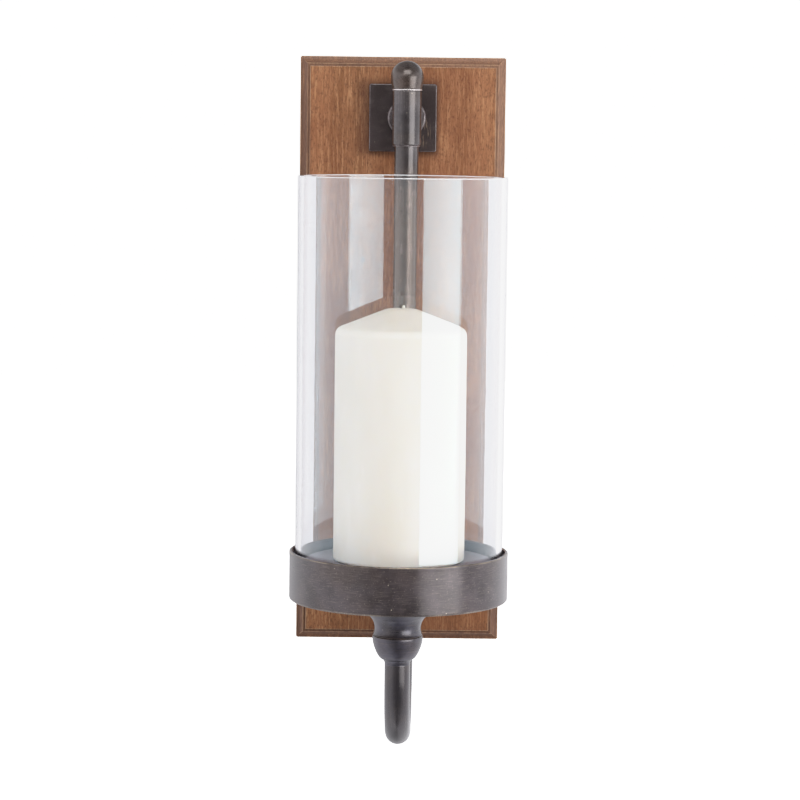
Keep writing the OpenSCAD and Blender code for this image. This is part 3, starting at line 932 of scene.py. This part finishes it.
def make_wick():
    """A braided cord that leans a little at its end and is burnt to a taper."""
    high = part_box("wick")[1]
    path, radii = [], []
    count = 26
    start, end = high.z - 13 * MM, high.z - 0.1 * MM
    for k in range(count + 1):
        t = k / count
        lean = max(0.0, t - 0.78) * 4.0 * MM
        path.append(Vector((-0.4 * lean, CUP_Y - 0.2 * lean, start + (end - start) * t)))
        taper = 1.0 if t < 0.95 else 1.0 - (t - 0.95) * 9
        radius = (1.02 + 0.12 * math.sin(t * 70)) * taper * MM
        radii.append((radius, radius))
    return sweep("cotton", path, Vector((1, 0, 0)), radii, 0.2 * MM, 20)


def make_wax_fleck():
    """The crumb of wax that clings to the wick."""
    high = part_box("wick")[1]
    bm = bmesh.new()
    bmesh.ops.create_icosphere(bm, subdivisions=3, radius=1.0)
    centre = Vector((1.25 * MM, CUP_Y - 0.9 * MM, high.z - 2.1 * MM))
    for v in bm.verts:
        x, y, z = v.co
        lump = 1 + 0.16 * math.sin(5 * x + 2) * math.cos(4 * z) + 0.1 * math.sin(7 * y)
        v.co = centre + Vector((x * 0.85, y * 0.8, z * 1.15)) * (lump * MM)
    return from_bmesh("wax_fleck", bm)


# ---------------------------------------------------------------- assembly

def place(ob, body, slot, material, *nodes):
    dress(ob, material)
    even = ob.modifiers.new("even_shading", "WEIGHTED_NORMAL")
    even.keep_sharp = True
    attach(ob, body)
    if nodes:
        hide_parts(*nodes)


board_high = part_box("backboard")[1]
wood = wood_material(board_high.x, board_high.z)
DARK, MID = (50, 45, 46), (74, 69, 71)
COOL_DARK, COOL_MID = (46, 44, 51), (74, 72, 84)
plate_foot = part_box("bracket_plate")[0].z
plate_metal = bronze_material("plate_bronze", (52, 41, 40), (62, 51, 51), (90, 500, 240),
                              0.36, 0.4, warmth=0.2, scuffs=0.2,
                              scratched=(13 * MM, plate_foot + 12 * MM, 4.5 * MM, 11 * MM))
boss_metal = bronze_material("boss_bronze", (52, 41, 40), (62, 51, 51), (500, 90, 500),
                             0.36, 0.8, warmth=0.3, scuffs=0.2)
rod_metal = bronze_material("rod_bronze", DARK, MID, (900, 900, 30), 0.23, 0.25, warmth=0.5,
                            scuffs=0.35, brown=(80, 68, 58), mottle=0.06)
glass_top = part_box("glass_hurricane")[1].z
bowl_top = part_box("stem_bowl")[1].z
# Painted highlight: the arm is warmer and lighter where it is seen through the glass. From just
# above the bowl down round the hook it is darker and cooler.
arm_metal = bronze_material("arm_bronze", DARK, MID, (700, 700, 40), 0.24, 0.25, warmth=0.45,
                            scuffs=0.25, brown=(82, 70, 58), mottle=0.14,
                            tinted=((-0.15, glass_top + 12 * MM, 0.6, (108, 91, 72)),
                                    (-0.30, bowl_top + 15 * MM, 0.5, (52, 49, 55))))
knob_metal = bronze_material("knob_bronze", (58, 50, 48), (88, 77, 71), (300, 300, 300),
                             0.30, 0.45, warmth=0.9, brown=(70, 52, 42), mottle=0.3)
turned_metal = bronze_material("turned_bronze", COOL_DARK, COOL_MID, (60, 60, 1400), 0.30, 0.4,
                               warmth=0.4, scuffs=0.35, bare_and_glint=WARM_EDGE)
# The pan's pale worn edges also paint a highlight along its lip and foot
pan_metal = bronze_material("pan_bronze", (50, 43, 45), (73, 65, 68), (130, 130, 2600),
                            0.34, 0.8, brushed=0.75, warmth=0.35, scuffs=0.78,
                            bare_and_glint=(186, 172, 150),
                            lining=(CUP_Y, PAN_HIGH.x - 1.1 * MM, 0.85, (86, 80, 86)))
floor_metal = bronze_material("floor_bronze", (118, 114, 125), (135, 131, 143),
                              (120, 120, 500), 0.40, 0.3, warmth=0.1, scuffs=0.2, mottle=0.05)
bright_metal = bronze_material("washer_bronze", (186, 180, 180), (226, 220, 220),
                               (200, 200, 900), 0.26, 0.2, warmth=0.1, bare_and_glint=WARM_EDGE)
steel = steel_material("plated_steel", (196, 196, 200), 0.38)
glass = glass_material(glass_top)
wax = wax_material()
cotton = wick_material()

place(make_backboard(), RIG_BODY, "stained_wood", wood, "backboard")
for node, name in (("keyhole_hanger_upper", "hanger_upper"),
                   ("keyhole_hanger_lower", "hanger_lower"),
                   ("hanger_screws", "wood_screws"),
                   ("bracket_bolts", "bolts"),
                   ("bracket_washers", "bolt_washers")):
    place(eased(node, name, 0.12 * MM), RIG_BODY, "plated_steel", steel, node)
place(make_wall_plate(), RIG_BODY, "dark_bronze", plate_metal, "bracket_plate")
place(eased("bracket_boss", "boss", 0.15 * MM), RIG_BODY, "dark_bronze", boss_metal,
      "bracket_boss")
place(make_sleeve(), RIG_BODY, "dark_bronze", rod_metal, "pivot_sleeve")

place(make_washer("swivel_washer", "lower_washer", 5.1), "arm", "dark_bronze", boss_metal,
      "swivel_washer")
place(make_washer("finial_washer", "upper_washer", 4.1), "arm", "worn_bronze", bright_metal,
      "finial_washer")
place(make_finial(), "arm", "dark_bronze", knob_metal, "finial_knob")
place(make_arm(), "arm", "dark_bronze", arm_metal, "arm_tube")
place(make_bowl(), "arm", "dark_bronze", turned_metal, "stem_bowl")
place(make_cove(), "arm", "dark_bronze", turned_metal, "stem_cove")
place(make_pan(), "arm", "worn_bronze", pan_metal, "dish_pan")
place(make_plate(), "arm", "dark_bronze", floor_metal, "candle_plate")
# Hidden, or seen only once the candle is out, so these keep the CAD's own meshes
for node in ("arm_top_stud", "arm_end_plug", "dish_spacer", "centre_screw"):
    dress(frame["nodes"][node], steel)

place(make_glass(), "glass", "clear_glass", glass, "glass_hurricane")
place(make_candle(), "candle", "candle_wax", wax, "candle")
place(make_wick(), "candle", "wick_cotton", cotton, "wick")
place(make_wax_fleck(), "candle", "candle_wax", wax)


# ---------------------------------------------------------------- floor, light and camera

SEEN_WHITE = 1.62  # behind everything, for the camera
BACKDROP = 0.86  # straight through the glass
# Shares of the surroundings' brightness that are left above and below
OVERHEAD, UNDERNEATH = 0.30, 0.85
# Brightness of the surroundings by bearing in degrees: 0 is the camera's side, 90 the right
SURROUND = ((-180, 0.8), (-155, 0.9), (-125, 1.45), (-100, 1.75), (-70, 1.75), (-50, 1.55),
            (-32, 0.85), (-12, 0.34), (12, 0.26), (30, 0.45), (64, 1.3), (72, 1.65), (90, 1.7),
            (110, 1.85), (130, 1.7), (155, 1.3), (180, 0.8))
COOL_WHITE = (0.965, 0.96, 1)
# Scene brightness and the brightness shown for it
SHOULDER = ((0.0, 0.0), (0.2, 0.2), (0.4, 0.4), (0.6, 0.6), (0.7, 0.698), (0.8, 0.785),
            (0.9, 0.848), (1.0, 0.884), (1.15, 0.908), (1.3, 0.922), (1.42, 0.938),
            (1.52, 0.968), (1.6, 1.0), (4.0, 1.0))


def make_floor():
    """A plain pale floor that only the camera sees, as white as the backdrop."""
    s = Shader("pale_floor")
    grain = s.noise(s.scaled(s.position(), (3, 3, 3)), detail=3)
    s.surface(Base_Color=s.mix(grain, (0.93, 0.93, 0.93, 1), (0.96, 0.96, 0.96, 1)),
              Roughness=0.9, Emission_Color=(1, 1, 1, 1), Emission_Strength=SEEN_WHITE)
    mesh = bpy.data.meshes.new("floor")
    size = 9.0
    height = -0.85
    mesh.from_pydata([(-size, -size, height), (size, -size, height), (size, size, height),
                      (-size, size, height)], [], [(0, 1, 2, 3)])
    floor = new_object("floor", mesh)
    floor.visible_diffuse = False
    floor.visible_glossy = False
    floor.visible_transmission = False
    dress(floor, s.material)


def straight_through(s):
    """1 for rays that have only been refracted, which look straight through the glass."""
    path = s.node("ShaderNodeLightPath")
    plain = s.calc("LESS_THAN", path.outputs["Glossy Depth"], 0.5)
    return s.times(plain, path.outputs["Is Transmission Ray"])


def softbox(name, bearing, distance, height, size, radiance, aim_height, near=1.0, far=1.0):
    """A glowing panel at a bearing in degrees, 0 in front and 90 to the right of the dish.

    near and far scale the glow at its edge towards the front and at its other edge.
    """
    s = Shader(name + "_glow")
    across = s.parts(s.position())[0]
    half = size[0] / 2
    glow = s.span(across, -half, half, radiance * near, radiance * far)
    folds = s.noise(s.scaled(s.position(), (9, 0, 0)), detail=3)
    lamp = s.node("ShaderNodeEmission")
    s.feed(lamp.inputs["Strength"], s.times(glow, s.span(folds, 0.3, 0.7, 0.94, 1.06)))
    gone = s.node("ShaderNodeBsdfTransparent")
    both = s.blend(straight_through(s), lamp.outputs[0], gone.outputs[0])
    s.feed(s.out.inputs["Surface"], both)

    x, y = half, size[1] / 2
    mesh = bpy.data.meshes.new(name)
    mesh.from_pydata([(-x, -y, 0), (x, -y, 0), (x, y, 0), (-x, y, 0)], [], [(3, 2, 1, 0)])
    panel = new_object(name, mesh)
    dress(panel, s.material)
    a = math.radians(bearing)
    panel.location = (distance * math.sin(a), CUP_Y - distance * math.cos(a), height)
    aim = Vector((0, CUP_Y, aim_height)) - panel.location
    panel.rotation_mode = "QUATERNION"
    panel.rotation_quaternion = aim.to_track_quat("-Z", "Y")
    panel.visible_camera = False


def make_world():
    """A studio that is dim in front, where the camera stands, and pale at the sides and behind."""
    world = bpy.data.worlds.new("studio")
    bpy.context.scene.world = world
    world.use_nodes = True
    s = Shader.for_tree(world.node_tree)
    x, y, z = s.parts(s.node("ShaderNodeTexCoord").outputs["Generated"])
    bearing = s.calc("ARCTAN2", x, s.times(y, -1.0))  # 0 in front of the dish
    ramp = s.node("ShaderNodeValToRGB")
    s.feed(ramp.inputs[0], s.plus(s.calc("DIVIDE", bearing, 2 * math.pi), 0.5))
    while len(ramp.color_ramp.elements) < len(SURROUND):
        ramp.color_ramp.elements.new(0.5)
    peak = max(value for _, value in SURROUND)
    for element, (degrees, value) in zip(ramp.color_ramp.elements, SURROUND):
        element.position = degrees / 360 + 0.5
        value /= peak
        element.color = (*(value * part for part in COOL_WHITE), 1)
    falloff = s.times(s.span(z, 0.30, 0.65, 1, OVERHEAD),
                      s.span(z, -0.55, -0.20, UNDERNEATH, 1))
    studio = s.node("ShaderNodeBackground")
    s.feed(studio.inputs[0], ramp.outputs[0])
    s.feed(studio.inputs[1], s.times(falloff, peak))
    shaders = studio.outputs[0]
    camera_ray = s.node("ShaderNodeLightPath").outputs["Is Camera Ray"]
    for share, strength, tone in ((straight_through(s), BACKDROP, (*COOL_WHITE, 1)),
                                  (camera_ray, SEEN_WHITE, (1, 1, 1, 1))):
        plain = s.node("ShaderNodeBackground")
        s.feed(plain.inputs[0], tone)
        s.feed(plain.inputs[1], strength)
        shaders = s.blend(share, shaders, plain.outputs[0])
    s.feed(s.node("ShaderNodeOutputWorld").inputs[0], shaders)


def set_tone():
    """Plain colour with a soft shoulder, so that the brightest highlights keep their shape."""
    view = bpy.context.scene.view_settings
    view.view_transform = "Standard"
    view.use_curve_mapping = True
    top = SHOULDER[-1][0]
    view.curve_mapping.white_level = (top, top, top)
    points = view.curve_mapping.curves[3].points
    for point, (seen, shown) in zip((points[0], points[-1]), (SHOULDER[0], SHOULDER[-1])):
        point.location = (seen / top, shown)
    for seen, shown in SHOULDER[1:-1]:
        points.new(seen / top, shown)
    view.curve_mapping.update()


def make_camera():
    """A long lens at the photograph's viewing angle, a little above and left of the middle."""
    data = bpy.data.cameras.new("camera")
    data.sensor_width = 36.0
    data.lens = 122.7
    data.clip_start, data.clip_end = 0.05, 50.0
    camera = new_object("camera", data)
    camera.location = (-8.7 * MM, -1681.8 * MM, 135.5 * MM)
    pitch, yaw, roll = math.radians(5.68), math.radians(-0.31), math.radians(0.69)
    turn = (Matrix.Rotation(yaw, 4, "Z") @ Matrix.Rotation(math.pi / 2 - pitch, 4, "X")
            @ Matrix.Rotation(roll, 4, "Z"))
    camera.rotation_mode = "QUATERNION"
    camera.rotation_quaternion = turn.to_quaternion()
    bpy.context.scene.camera = camera


make_floor()
make_world()
softbox("right_softbox", bearing=44.6, distance=1.6, height=-0.09, size=(1.31, 0.80),
        radiance=6.35, aim_height=-0.09, near=0.88, far=1.12)
softbox("top_softbox", bearing=0, distance=1.1, height=1.05, size=(1.2, 0.7),
        radiance=6.0, aim_height=0.0)
set_tone()
make_camera()
